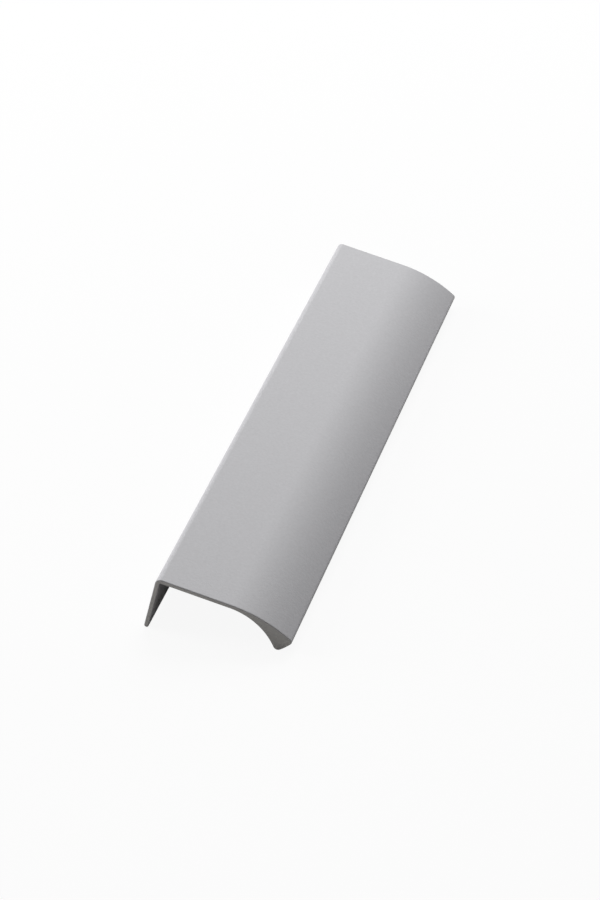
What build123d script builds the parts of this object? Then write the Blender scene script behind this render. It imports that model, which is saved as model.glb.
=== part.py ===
from build123d import *
import os
from math import asin, atan2, degrees, sqrt

# An edge pull for a drawer or cupboard front: one sawn length of extruded aluminium profile.
# The flange is screwed to the back of the front, the plate lies over its top edge, and the
# lip hangs over its face, with a hollow behind it for the fingertips.
# The section is drawn level: across from the flange's outer face, up from the plate's top face.

# Driving dimensions, in millimetres
length = 200.0  # between the two sawn ends
board_seat = 20.0  # level underside of the plate, which takes the edge of the front
lip_reach = 18.7  # from the end of the board seat to the foremost point of the nose
lip_depth = 9.0  # from the top face down to the lowest point of the lip
flange_depth = 16.5  # from the top face down to the foot of the flange
plate_thickness = 1.2
flange_thickness = 1.3
bend_radius = 1.6  # outer corner between plate and flange
root_radius = 0.3  # inner corner between plate and flange
crown_radius = 40.0  # top face where it falls away to the nose
scoop_radius = 17.5  # finger hollow behind the lip
nose_radius = 20.0  # front face of the lip
nose_corner_radius = 1.0  # between the crown and the front face
lip_tip_radius = 1.3  # lowest edge of the lip
edge_break = 0.25  # rounding of the edges at the sawn ends
screw_spacing = 160.0  # between the two screw holes, along the flange
screw_drop = 9.0  # from the top face down to the screws
screw_hole_diameter = 4.0
countersink_diameter = 6.0  # at the outer face of the flange
countersink_angle = 90.0

# Centres of the section's arcs, each placed so that the arc runs smoothly into its neighbours
curve_start = flange_thickness + board_seat
foot_radius = flange_thickness / 2
crown_centre = Vector(curve_start, -crown_radius)
scoop_centre = Vector(curve_start, -plate_thickness - scoop_radius)

corner_across = lip_reach - nose_corner_radius
corner_rise = sqrt((crown_radius - nose_corner_radius) ** 2 - corner_across**2)
corner_centre = crown_centre + Vector(corner_across, corner_rise)

tip_rise = scoop_radius + plate_thickness - lip_depth + lip_tip_radius
tip_across = sqrt((scoop_radius + lip_tip_radius) ** 2 - tip_rise**2)
tip_centre = scoop_centre + Vector(tip_across, tip_rise)

foot_centre = Vector(foot_radius, foot_radius - flange_depth)


def nose_centre():
    """The centre of the front face's arc, which encloses the nose corner and the lip's tip."""
    corner_reach = nose_radius - nose_corner_radius
    tip_reach = nose_radius - lip_tip_radius
    chord = tip_centre - corner_centre
    along = (corner_reach**2 - tip_reach**2 + chord.length**2) / (2 * chord.length)
    aside = sqrt(corner_reach**2 - along**2)
    direction = chord.normalized()
    inwards = Vector(direction.Y, -direction.X)
    return corner_centre + direction * along + inwards * aside


def on_arc(centre, radius, towards):
    """The point of an arc that lies on the line from its centre through another point."""
    return centre + (towards - centre).normalized() * radius


def section():
    """The closed outline of the profile, clockwise from the bend."""
    front_centre = nose_centre()
    with BuildSketch(Plane.XZ) as sketch:
        with BuildLine():
            top = Line((bend_radius, 0), (curve_start, 0))
            crown = TangentArc(
                top @ 1, on_arc(crown_centre, crown_radius, corner_centre), tangent=top % 1
            )
            corner = TangentArc(
                crown @ 1, on_arc(front_centre, nose_radius, corner_centre), tangent=crown % 1
            )
            nose = TangentArc(
                corner @ 1, on_arc(front_centre, nose_radius, tip_centre), tangent=corner % 1
            )
            tip = TangentArc(
                nose @ 1, on_arc(scoop_centre, scoop_radius, tip_centre), tangent=nose % 1
            )
            scoop = TangentArc(tip @ 1, (curve_start, -plate_thickness), tangent=tip % 1)
            seat = Line(scoop @ 1, (flange_thickness + root_radius, -plate_thickness))
            root = TangentArc(
                seat @ 1, (flange_thickness, -plate_thickness - root_radius), tangent=seat % 1
            )
            inside = Line(root @ 1, (flange_thickness, foot_centre.Y))
            foot = TangentArc(inside @ 1, (0, foot_centre.Y), tangent=inside % 1)
            outside = Line(foot @ 1, (0, -bend_radius))
            TangentArc(outside @ 1, top @ 0, tangent=outside % 1)
        make_face()
    return sketch.sketch


def level_pull():
    """The sawn length with its screw holes, with the plate level."""
    flange_back = Plane(origin=(0, 0, -screw_drop), x_dir=(0, 1, 0), z_dir=(-1, 0, 0))
    with BuildPart() as pull:
        extrude(section(), amount=length / 2, both=True)
        fillet(pull.faces().filter_by(Axis.Y).edges(), radius=edge_break)
        with Locations(flange_back):
            with GridLocations(screw_spacing, 0, 2, 1):
                CounterSinkHole(
                    radius=screw_hole_diameter / 2,
                    counter_sink_radius=countersink_diameter / 2,
                    depth=2 * flange_thickness,
                    counter_sink_angle=countersink_angle,
                )
    return pull.part


def stand(pull):
    """The pull as it stands by itself, on the foot of the flange and the tip of the lip."""
    span = tip_centre - foot_centre
    slope = atan2(span.Y, span.X) - asin((lip_tip_radius - foot_radius) / span.length)
    tilted = Rot(0, degrees(slope), 0) * pull
    box = tilted.bounding_box()
    return Pos(-box.center().X, 0, -box.min.Z) * tilted


os.makedirs("parts", exist_ok=True)
export_step(stand(level_pull()), "parts/edge_pull.step")
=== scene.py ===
from math import acos, asin, atan2, ceil, cos, pi, radians, sin, sqrt

import bmesh
import bpy
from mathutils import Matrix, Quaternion, Vector


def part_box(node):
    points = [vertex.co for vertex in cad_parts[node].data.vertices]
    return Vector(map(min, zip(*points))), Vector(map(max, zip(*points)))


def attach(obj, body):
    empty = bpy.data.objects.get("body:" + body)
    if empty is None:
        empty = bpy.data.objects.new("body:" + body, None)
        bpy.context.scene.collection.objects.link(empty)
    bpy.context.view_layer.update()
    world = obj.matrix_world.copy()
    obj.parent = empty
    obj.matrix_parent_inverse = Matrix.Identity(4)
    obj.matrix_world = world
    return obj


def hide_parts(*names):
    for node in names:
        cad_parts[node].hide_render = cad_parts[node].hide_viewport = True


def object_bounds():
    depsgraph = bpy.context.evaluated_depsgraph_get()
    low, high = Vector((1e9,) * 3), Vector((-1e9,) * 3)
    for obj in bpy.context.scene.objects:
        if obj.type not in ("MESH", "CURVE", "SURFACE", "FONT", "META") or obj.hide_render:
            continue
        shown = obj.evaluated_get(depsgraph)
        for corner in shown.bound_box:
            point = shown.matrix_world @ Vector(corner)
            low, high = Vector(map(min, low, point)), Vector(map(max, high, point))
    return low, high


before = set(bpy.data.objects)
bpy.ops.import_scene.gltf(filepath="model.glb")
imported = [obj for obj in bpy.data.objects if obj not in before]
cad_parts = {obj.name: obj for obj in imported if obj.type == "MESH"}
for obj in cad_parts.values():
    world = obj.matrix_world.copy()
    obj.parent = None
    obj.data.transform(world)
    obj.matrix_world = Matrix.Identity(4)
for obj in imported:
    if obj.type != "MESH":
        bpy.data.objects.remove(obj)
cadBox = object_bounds()
mm = 0.001
print("frame loaded:", sorted(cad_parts))


# the section is drawn with its plate level: across from the flange's outer face, up from the top face
pull = {
    "length": 200.0 * mm,
    "boardSeat": 20.0 * mm,  # level underside of the plate
    "lipReach": 18.7 * mm,  # from the end of the seat to the foremost point of the nose
    "lipDepth": 9.0 * mm,  # below the top face, as is the flange's
    "flangeDepth": 16.5 * mm,
    "plate": 1.2 * mm,  # thickness, as is the flange's
    "flange": 1.3 * mm,
    "bendRadius": 1.6 * mm,
    "rootRadius": 0.3 * mm,
    "crownRadius": 40.0 * mm,
    "scoopRadius": 17.5 * mm,
    "noseRadius": 20.0 * mm,
    "noseCorner": 1.0 * mm,
    "lipTip": 1.3 * mm,
    "edgeBreak": 0.25 * mm,  # rounding of the sawn ends
    "edgeBreakSteps": 4,
    "endFacing": 0.99,  # how squarely a face looks along the length if it is a sawn end
    "arcSag": 0.001 * mm,  # how far a facet may lie inside its arc
    "weldGap": 0.001 * mm,  # points as close as this are one
    "smoothAngle": 30,  # degrees; a sharper edge stays crisp
}
screwHoles = {
    "spacing": 160.0 * mm,
    "drop": 9.0 * mm,  # below the top face
    "hole": 4.0 * mm,
    "countersink": 6.0 * mm,  # across, at the flange's outer face; its sides slope 45 degrees
    "overshoot": 0.6 * mm,  # how far the cutter stands out of the flange
    "sides": 72,
}


def deselectAll():
    if bpy.context.mode != "OBJECT":
        bpy.ops.object.mode_set(mode="OBJECT")
    bpy.ops.object.select_all(action="DESELECT")


def applyModifier(obj, name):
    bpy.context.view_layer.objects.active = obj
    bpy.ops.object.modifier_apply(modifier=name)


def selectSawnEnds(obj):
    bpy.ops.mesh.select_mode(type="FACE")
    bpy.ops.mesh.select_all(action="DESELECT")
    mesh = bmesh.from_edit_mesh(obj.data)
    for face in mesh.faces:
        face.select_set(abs(face.normal.y) > pull["endFacing"])
    bmesh.update_edit_mesh(obj.data)


# the pen is the one selected vertex: a line extrudes it, an arc spins it
def drawLine(pen, to):
    step = (to.x - pen.x, 0, to.y - pen.y)
    bpy.ops.mesh.extrude_vertices_move(TRANSFORM_OT_translate={"value": step})
    return to


def drawArc(pen, centre, to):
    turn = (pen - centre).angle_signed(to - centre)  # positive clockwise, and spin counts the other way
    facetTurn = 2 * acos(1 - pull["arcSag"] / (to - centre).length)
    steps = ceil(abs(turn) / facetTurn)
    pivot = (centre.x, -pull["length"] / 2, centre.y)
    bpy.ops.mesh.spin(steps=steps, angle=-turn, center=pivot, axis=(0, 1, 0))
    return to


def onArc(centre, radius, towards):
    return centre + (towards - centre).normalized() * radius


# centres of the arcs, each placed so that the arc runs smoothly into its neighbours
def sectionCentres():
    curveStart = pull["flange"] + pull["boardSeat"]
    footRadius = pull["flange"] / 2
    crown = Vector((curveStart, -pull["crownRadius"]))
    scoop = Vector((curveStart, -pull["plate"] - pull["scoopRadius"]))

    cornerAcross = pull["lipReach"] - pull["noseCorner"]
    cornerRise = sqrt((pull["crownRadius"] - pull["noseCorner"]) ** 2 - cornerAcross**2)
    corner = crown + Vector((cornerAcross, cornerRise))

    tipRise = pull["scoopRadius"] + pull["plate"] - pull["lipDepth"] + pull["lipTip"]
    tipAcross = sqrt((pull["scoopRadius"] + pull["lipTip"]) ** 2 - tipRise**2)
    tip = scoop + Vector((tipAcross, tipRise))

    # the nose's arc encloses the corner's and the tip's
    cornerReach = pull["noseRadius"] - pull["noseCorner"]
    tipReach = pull["noseRadius"] - pull["lipTip"]
    chord = tip - corner
    along = (cornerReach**2 - tipReach**2 + chord.length**2) / (2 * chord.length)
    inwards = Vector((chord.y, -chord.x)).normalized()
    nose = corner + chord.normalized() * along + inwards * sqrt(cornerReach**2 - along**2)

    return {
        "bend": Vector((pull["bendRadius"], -pull["bendRadius"])),
        "crown": crown,
        "corner": corner,
        "nose": nose,
        "tip": tip,
        "scoop": scoop,
        "root": Vector((pull["flange"] + pull["rootRadius"], -pull["plate"] - pull["rootRadius"])),
        "foot": Vector((footRadius, footRadius - pull["flangeDepth"])),
    }


# clockwise from the bend, at the near end
def drawSection(centres):
    curveStart = centres["crown"].x
    pen = Vector((pull["bendRadius"], 0))
    bpy.ops.mesh.primitive_plane_add(size=mm, location=(0, 0, 0))  # any plane, merged to one point
    obj = bpy.context.object
    bpy.ops.object.mode_set(mode="EDIT")
    bpy.ops.mesh.select_mode(type="VERT")
    bpy.ops.mesh.merge(type="CENTER")
    bpy.ops.transform.translate(value=(pen.x, -pull["length"] / 2, pen.y))

    pen = drawLine(pen, Vector((curveStart, 0)))
    pen = drawArc(pen, centres["crown"], onArc(centres["crown"], pull["crownRadius"], centres["corner"]))
    pen = drawArc(pen, centres["corner"], onArc(centres["nose"], pull["noseRadius"], centres["corner"]))
    pen = drawArc(pen, centres["nose"], onArc(centres["nose"], pull["noseRadius"], centres["tip"]))
    pen = drawArc(pen, centres["tip"], onArc(centres["scoop"], pull["scoopRadius"], centres["tip"]))
    pen = drawArc(pen, centres["scoop"], Vector((curveStart, -pull["plate"])))
    pen = drawLine(pen, Vector((centres["root"].x, -pull["plate"])))
    pen = drawArc(pen, centres["root"], Vector((pull["flange"], centres["root"].y)))
    pen = drawLine(pen, Vector((pull["flange"], centres["foot"].y)))
    pen = drawArc(pen, centres["foot"], Vector((centres["foot"].x, -pull["flangeDepth"])))
    pen = drawArc(pen, centres["foot"], Vector((0, centres["foot"].y)))
    pen = drawLine(pen, Vector((0, centres["bend"].y)))
    drawArc(pen, centres["bend"], Vector((pull["bendRadius"], 0)))

    bpy.ops.mesh.select_all(action="SELECT")
    bpy.ops.mesh.remove_doubles(threshold=pull["weldGap"])  # closes the outline
    bpy.ops.mesh.edge_face_add()
    return obj


def breakEnds(obj):
    selectSawnEnds(obj)
    bpy.ops.mesh.region_to_loop()
    bpy.ops.mesh.bevel(offset=pull["edgeBreak"], segments=pull["edgeBreakSteps"], affect="EDGES")


# a bar along X: a cone from outside the flange to the bore, then the bore out past the inner face
def addScrewCutter(along):
    boreRadius = screwHoles["hole"] / 2
    boreLength = 2 * pull["flange"]
    mouthRadius = screwHoles["countersink"] / 2 + screwHoles["overshoot"]
    coneLength = mouthRadius - boreRadius
    narrow = boreRadius / mouthRadius
    deselectAll()
    bpy.ops.mesh.primitive_circle_add(
        vertices=screwHoles["sides"],
        radius=mouthRadius,
        fill_type="NGON",
        location=(-screwHoles["overshoot"], along, -screwHoles["drop"]),
        rotation=(0, radians(90), 0),
    )
    cutter = bpy.context.object
    bpy.ops.object.transform_apply(location=True, rotation=True, scale=True)
    bpy.ops.object.mode_set(mode="EDIT")
    bpy.ops.mesh.select_all(action="SELECT")
    bpy.ops.mesh.extrude_region_move(TRANSFORM_OT_translate={"value": (coneLength, 0, 0)})
    bpy.ops.transform.resize(
        value=(1, narrow, narrow),
        center_override=(coneLength - screwHoles["overshoot"], along, -screwHoles["drop"]),
    )
    bpy.ops.mesh.extrude_region_move(TRANSFORM_OT_translate={"value": (boreLength, 0, 0)})
    bpy.ops.mesh.select_all(action="SELECT")
    bpy.ops.mesh.normals_make_consistent(inside=False)
    bpy.ops.object.mode_set(mode="OBJECT")
    return cutter


def cutScrewHoles(obj):
    for along in (-screwHoles["spacing"] / 2, screwHoles["spacing"] / 2):
        cutter = addScrewCutter(along)
        deselectAll()
        cut = obj.modifiers.new("screwHole", "BOOLEAN")
        cut.operation = "DIFFERENCE"
        cut.solver = "EXACT"
        cut.object = cutter
        applyModifier(obj, cut.name)
        bpy.data.objects.remove(cutter)


# it stands on the foot of the flange and the tip of the lip, where the frame says
def standPull(obj, centres):
    span = centres["tip"] - centres["foot"]
    slope = atan2(span.y, span.x) - asin((pull["lipTip"] - pull["flange"] / 2) / span.length)
    deselectAll()
    obj.select_set(True)
    bpy.context.view_layer.objects.active = obj
    obj.rotation_euler = (0, slope, 0)
    bpy.ops.object.transform_apply(location=True, rotation=True, scale=True)
    corners = [Vector(c) for c in obj.bound_box]
    low = Vector(min(c[i] for c in corners) for i in range(3))
    obj.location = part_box("edge_pull")[0] - low
    bpy.ops.object.transform_apply(location=True, rotation=True, scale=True)


def buildPull():
    centres = sectionCentres()
    deselectAll()
    obj = drawSection(centres)
    obj.name = obj.data.name = "pull_profile"
    bpy.ops.mesh.extrude_region_move(TRANSFORM_OT_translate={"value": (0, pull["length"], 0)})
    bpy.ops.mesh.select_all(action="SELECT")
    bpy.ops.mesh.normals_make_consistent(inside=False)
    breakEnds(obj)
    bpy.ops.object.mode_set(mode="OBJECT")
    cutScrewHoles(obj)
    standPull(obj, centres)

    bpy.ops.object.shade_smooth_by_angle(angle=radians(pull["smoothAngle"]))
    flats = obj.modifiers.new("flatFaces", "WEIGHTED_NORMAL")  # the plate and flange shade dead flat
    flats.keep_sharp = True
    applyModifier(obj, flats.name)
    return obj


# finely blasted and clear anodised all over, with the strokes of the saw on the two ends
grainValues = {
    "grainScale": 1100,  # pits about 0.9 mm apart
    "grainDetail": 4.0,
    "grainRoughness": 0.72,
    "mottleScale": 140,  # cloudiness about 7 mm across
    "mottleDetail": 2.0,
    "mottleRoughness": 0.5,
    "noiseMean": 0.5,
    "shadeSpread": 0.32,
    "mottleSpread": 0.02,
    "roughSpread": 0.08,
}
blastedFinish = {
    "colour": (0.509, 0.506, 0.526),
    "metallic": 0.0,
    "roughness": 0.55,
    "bumpStrength": 0.6,
    "bumpDepth": 0.12 * mm,
}
sawnFinishAndPaintedFill = {
    # lighter and warmer than the blasted colour: partly the sawn metal, partly painted fill light and warm
    # bounce on the ends, which face away from the lamps
    "colour": (0.573, 0.567, 0.56),
    "metallic": 0.0,
    "roughness": 0.6,
    "bumpStrength": 0.5,
    "bumpDepth": 0.06 * mm,
    "sawPitch": 0.3 * mm,
    "sawWander": 1.2,  # how far the strokes stray from straight
    "sawDetail": 2.0,
    "sawDetailScale": 2.0,
    "sawShare": 0.5,  # of the relief
    "sawShade": 0.05,  # how much lighter and darker the strokes are
}


def addNode(tree, kind, place, **values):
    node = tree.nodes.new(kind)
    node.location = place
    for name, value in values.items():
        if name in node.inputs:
            node.inputs[name].default_value = value
        else:
            setattr(node, name, value)
    return node


# the second value is a number or comes from another node
def addMath(tree, place, operation, first, second):
    node = addNode(tree, "ShaderNodeMath", place, operation=operation)
    tree.links.new(first, node.inputs[0])
    if isinstance(second, float):
        node.inputs[1].default_value = second
    else:
        tree.links.new(second, node.inputs[1])
    return node.outputs[0]


def makeGrainGroup():
    tree = bpy.data.node_groups.new("blastedGrain", "ShaderNodeTree")
    for name in ("Grain Scale", "Mottle Scale", "Shade Spread", "Mottle Spread", "Rough Spread", "Roughness"):
        tree.interface.new_socket(name, in_out="INPUT", socket_type="NodeSocketFloat")
    for name in ("Shade", "Roughness", "Height"):
        tree.interface.new_socket(name, in_out="OUTPUT", socket_type="NodeSocketFloat")
    link = tree.links.new
    given = addNode(tree, "NodeGroupInput", (-900, 0)).outputs
    out = addNode(tree, "NodeGroupOutput", (700, 0)).inputs
    where = addNode(tree, "ShaderNodeTexCoord", (-900, 300))

    def addNoise(place, scale, detail, roughness):
        noise = addNode(tree, "ShaderNodeTexNoise", place, Detail=detail, Roughness=roughness)
        link(where.outputs["Object"], noise.inputs["Vector"])
        link(given[scale], noise.inputs["Scale"])
        return noise.outputs["Fac"]

    # a noise as a swing up and down about nought
    def addSwing(place, noise, spread):
        centred = addMath(tree, place, "SUBTRACT", noise, grainValues["noiseMean"])
        return addMath(tree, (place[0] + 180, place[1]), "MULTIPLY", centred, given[spread])

    grain = addNoise((-600, 200), "Grain Scale", grainValues["grainDetail"], grainValues["grainRoughness"])
    mottle = addNoise(
        (-600, -150), "Mottle Scale", grainValues["mottleDetail"], grainValues["mottleRoughness"]
    )
    speckle = addSwing((-350, 250), grain, "Shade Spread")
    cloud = addSwing((-350, 50), mottle, "Mottle Spread")
    rough = addSwing((-350, -200), grain, "Rough Spread")
    both = addMath(tree, (100, 200), "ADD", speckle, cloud)
    link(addMath(tree, (300, 200), "ADD", both, 1.0), out["Shade"])  # what the colour is multiplied by
    link(addMath(tree, (300, -150), "ADD", rough, given["Roughness"]), out["Roughness"])
    link(grain, out["Height"])
    return tree


def makeFinish(name, values, grainGroup):
    material = bpy.data.materials.new(name)
    material.use_nodes = True
    tree = material.node_tree
    link = tree.links.new
    shader = tree.nodes["Principled BSDF"]
    shader.inputs["Metallic"].default_value = values["metallic"]
    grain = addNode(tree, "ShaderNodeGroup", (-900, 100), node_tree=grainGroup)
    settings = {
        "Grain Scale": grainValues["grainScale"],
        "Mottle Scale": grainValues["mottleScale"],
        "Shade Spread": grainValues["shadeSpread"],
        "Mottle Spread": grainValues["mottleSpread"],
        "Rough Spread": grainValues["roughSpread"],
        "Roughness": values["roughness"],
    }
    for socket, value in settings.items():
        grain.inputs[socket].default_value = value
    tint = addNode(tree, "ShaderNodeVectorMath", (-400, 300), operation="SCALE")
    tint.inputs[0].default_value = values["colour"]
    link(grain.outputs["Shade"], tint.inputs["Scale"])
    link(tint.outputs[0], shader.inputs["Base Color"])
    link(grain.outputs["Roughness"], shader.inputs["Roughness"])
    bump = addNode(
        tree, "ShaderNodeBump", (-250, -200), Strength=values["bumpStrength"], Distance=values["bumpDepth"]
    )
    link(grain.outputs["Height"], bump.inputs["Height"])
    link(bump.outputs["Normal"], shader.inputs["Normal"])
    return material, grain, tint, bump


# the strokes of the saw show as ridges, and as lines a little lighter and darker
def makeSawnFinishAndPaintedFill(grainGroup):
    material, grain, tint, bump = makeFinish("sawnAnodisedAndPaintedFill", sawnFinishAndPaintedFill, grainGroup)
    tree = material.node_tree
    link = tree.links.new
    where = addNode(tree, "ShaderNodeTexCoord", (-1400, -300))
    saw = addNode(
        tree,
        "ShaderNodeTexWave",
        (-1200, -300),
        bands_direction="Z",
        Scale=pi / 10 / sawnFinishAndPaintedFill["sawPitch"],  # at scale 1 a wave is pi / 10 long
        Distortion=sawnFinishAndPaintedFill["sawWander"],
        Detail=sawnFinishAndPaintedFill["sawDetail"],
    )
    saw.inputs["Detail Scale"].default_value = sawnFinishAndPaintedFill["sawDetailScale"]
    link(where.outputs["Object"], saw.inputs["Vector"])

    ridges = addNode(tree, "ShaderNodeMix", (-500, -250), data_type="FLOAT")
    ridges.inputs["Factor"].default_value = sawnFinishAndPaintedFill["sawShare"]
    link(grain.outputs["Height"], ridges.inputs["A"])
    link(saw.outputs["Fac"], ridges.inputs["B"])
    link(ridges.outputs["Result"], bump.inputs["Height"])

    lines = addNode(tree, "ShaderNodeMapRange", (-900, -100))
    lines.inputs["To Min"].default_value = 1 - sawnFinishAndPaintedFill["sawShade"]
    lines.inputs["To Max"].default_value = 1 + sawnFinishAndPaintedFill["sawShade"]
    link(saw.outputs["Fac"], lines.inputs["Value"])
    shade = addMath(tree, (-600, 250), "MULTIPLY", grain.outputs["Shade"], lines.outputs["Result"])
    link(shade, tint.inputs["Scale"])
    return material


def finishPull(obj):
    grainGroup = makeGrainGroup()
    blasted = makeFinish("blastedAnodised", blastedFinish, grainGroup)[0]
    sawn = makeSawnFinishAndPaintedFill(grainGroup)
    obj.data.materials.append(blasted)
    obj.data.materials.append(sawn)
    deselectAll()
    bpy.context.view_layer.objects.active = obj
    bpy.ops.object.mode_set(mode="EDIT")
    # the sawn ends take the lighter, warmer colour, which paints fill light onto them
    selectSawnEnds(obj)
    obj.active_material_index = obj.data.materials.find(sawn.name)
    bpy.ops.object.material_slot_assign()
    bpy.ops.object.mode_set(mode="OBJECT")


pullProfile = buildPull()
finishPull(pullProfile)
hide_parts("edge_pull")
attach(pullProfile, "root")
print("pull modelled:", len(pullProfile.data.vertices), "vertices,", len(pullProfile.data.polygons), "faces")


cameraView = {
    "lookAt": Vector((-0.527, -11.234, 8.0)) * mm,
    "azimuth": 13.676,
    "elevation": 31.491,
    "roll": 2.057,
    "distance": 1044.2 * mm,
    "lens": 144.47,
    "clipStart": 50 * mm,
}


# from the object towards what stands at that azimuth and elevation; azimuth 0 is the near end
def directionOf(values):
    azimuth = radians(values["azimuth"])
    elevation = radians(values["elevation"])
    return Vector((sin(azimuth) * cos(elevation), -cos(azimuth) * cos(elevation), sin(elevation)))


def addCamera():
    back = directionOf(cameraView)
    deselectAll()
    bpy.ops.object.camera_add(location=cameraView["lookAt"] + back * cameraView["distance"])
    camera = bpy.context.object
    camera.rotation_mode = "QUATERNION"
    level = (-back).to_track_quat("-Z", "Y")
    camera.rotation_quaternion = level @ Quaternion((0, 0, 1), radians(cameraView["roll"]))
    camera.data.lens = cameraView["lens"]
    camera.data.clip_start = cameraView["clipStart"]
    bpy.context.scene.camera = camera


addCamera()
print("camera placed")


floorValues = {
    "size": 6.0,
    "colour": (0.62, 0.6, 0.57, 1),  # what lights the underside
    "seenColour": (0.9, 0.9, 0.9, 1),
    "shadowShare": 0.08,  # how much of its shadow the floor shows
}
worldValues = {"fill": (0.12, 0.12, 0.12, 1), "background": (1, 1, 1, 1)}
lamps = {
    "softboxBehind": {"distance": 1.2, "azimuth": 182, "elevation": 40, "size": 0.8, "power": 11.4},
    "stripLeft": {"distance": 1.2, "azimuth": 270, "elevation": 18, "size": 0.6, "power": 12.3},
}


# 1 for a ray from the camera, and 1 for any ray that shows a surface, also by way of a reflection
def addSeenRays(tree):
    rays = addNode(tree, "ShaderNodeLightPath", (-900, 350)).outputs
    direct = addMath(tree, (-700, 350), "MAXIMUM", rays["Is Camera Ray"], rays["Is Glossy Ray"])
    seen = addMath(tree, (-500, 350), "MAXIMUM", direct, rays["Is Transmission Ray"])
    return rays["Is Camera Ray"], seen


def addMix(tree, place, share, first, second):
    node = addNode(tree, "ShaderNodeMixShader", place)
    for socket, value in zip(node.inputs, (share, first, second)):
        tree.links.new(value, socket)
    return node.outputs[0]


# white to the camera with a trace of shadow, pale in reflections,
# and a plain grey for the light that it gives back
def makeFloorMaterial():
    material = bpy.data.materials.new("paleFloor")
    material.use_nodes = True
    tree = material.node_tree
    tree.nodes.clear()
    out = addNode(tree, "ShaderNodeOutputMaterial", (700, 0))
    toCamera, seen = addSeenRays(tree)
    whiteShare = addMath(tree, (-500, -100), "MULTIPLY", toCamera, 1 - floorValues["shadowShare"])
    plain = addNode(tree, "ShaderNodeBsdfDiffuse", (-250, 100), Color=floorValues["colour"])
    pale = addNode(tree, "ShaderNodeBsdfDiffuse", (-250, -50), Color=floorValues["seenColour"])
    white = addNode(tree, "ShaderNodeEmission", (-250, -200), Color=worldValues["background"])
    shaded = addMix(tree, (0, -100), whiteShare, pale.outputs[0], white.outputs[0])
    above = addMix(tree, (250, 50), seen, plain.outputs[0], shaded)

    # clear from below, so that the underside can be looked at
    side = addNode(tree, "ShaderNodeNewGeometry", (250, 300))
    clear = addNode(tree, "ShaderNodeBsdfTransparent", (250, -150))
    either = addMix(tree, (480, 50), side.outputs["Backfacing"], above, clear.outputs[0])
    tree.links.new(either, out.inputs["Surface"])
    return material


def addFloor():
    deselectAll()
    bpy.ops.mesh.primitive_plane_add(size=floorValues["size"], location=(0, 0, cadBox[0].z))
    floor = bpy.context.object
    floor.name = "floor"
    floor.data.materials.append(makeFloorMaterial())


def makeWorld():
    world = bpy.data.worlds.new("studio")
    world.use_nodes = True
    bpy.context.scene.world = world
    tree = world.node_tree
    tree.nodes.clear()
    out = addNode(tree, "ShaderNodeOutputWorld", (500, 0))
    seen = addSeenRays(tree)[1]
    fill = addNode(tree, "ShaderNodeBackground", (-50, 0), Color=worldValues["fill"])
    white = addNode(tree, "ShaderNodeBackground", (-50, -150), Color=worldValues["background"])
    chosen = addMix(tree, (250, 0), seen, fill.outputs[0], white.outputs[0])
    tree.links.new(chosen, out.inputs["Surface"])


def addLamp(name, values):
    towards = directionOf(values)
    deselectAll()
    bpy.ops.object.light_add(type="AREA", location=towards * values["distance"])
    lamp = bpy.context.object
    lamp.name = name
    lamp.rotation_euler = (-towards).to_track_quat("-Z", "Y").to_euler()
    lamp.data.size = values["size"]
    lamp.data.energy = values["power"]


addFloor()
makeWorld()
for lampName, lampValues in lamps.items():
    addLamp(lampName, lampValues)
print("stage lit:", len(lamps), "lamps")


bpy.context.scene.view_settings.view_transform = "Standard"
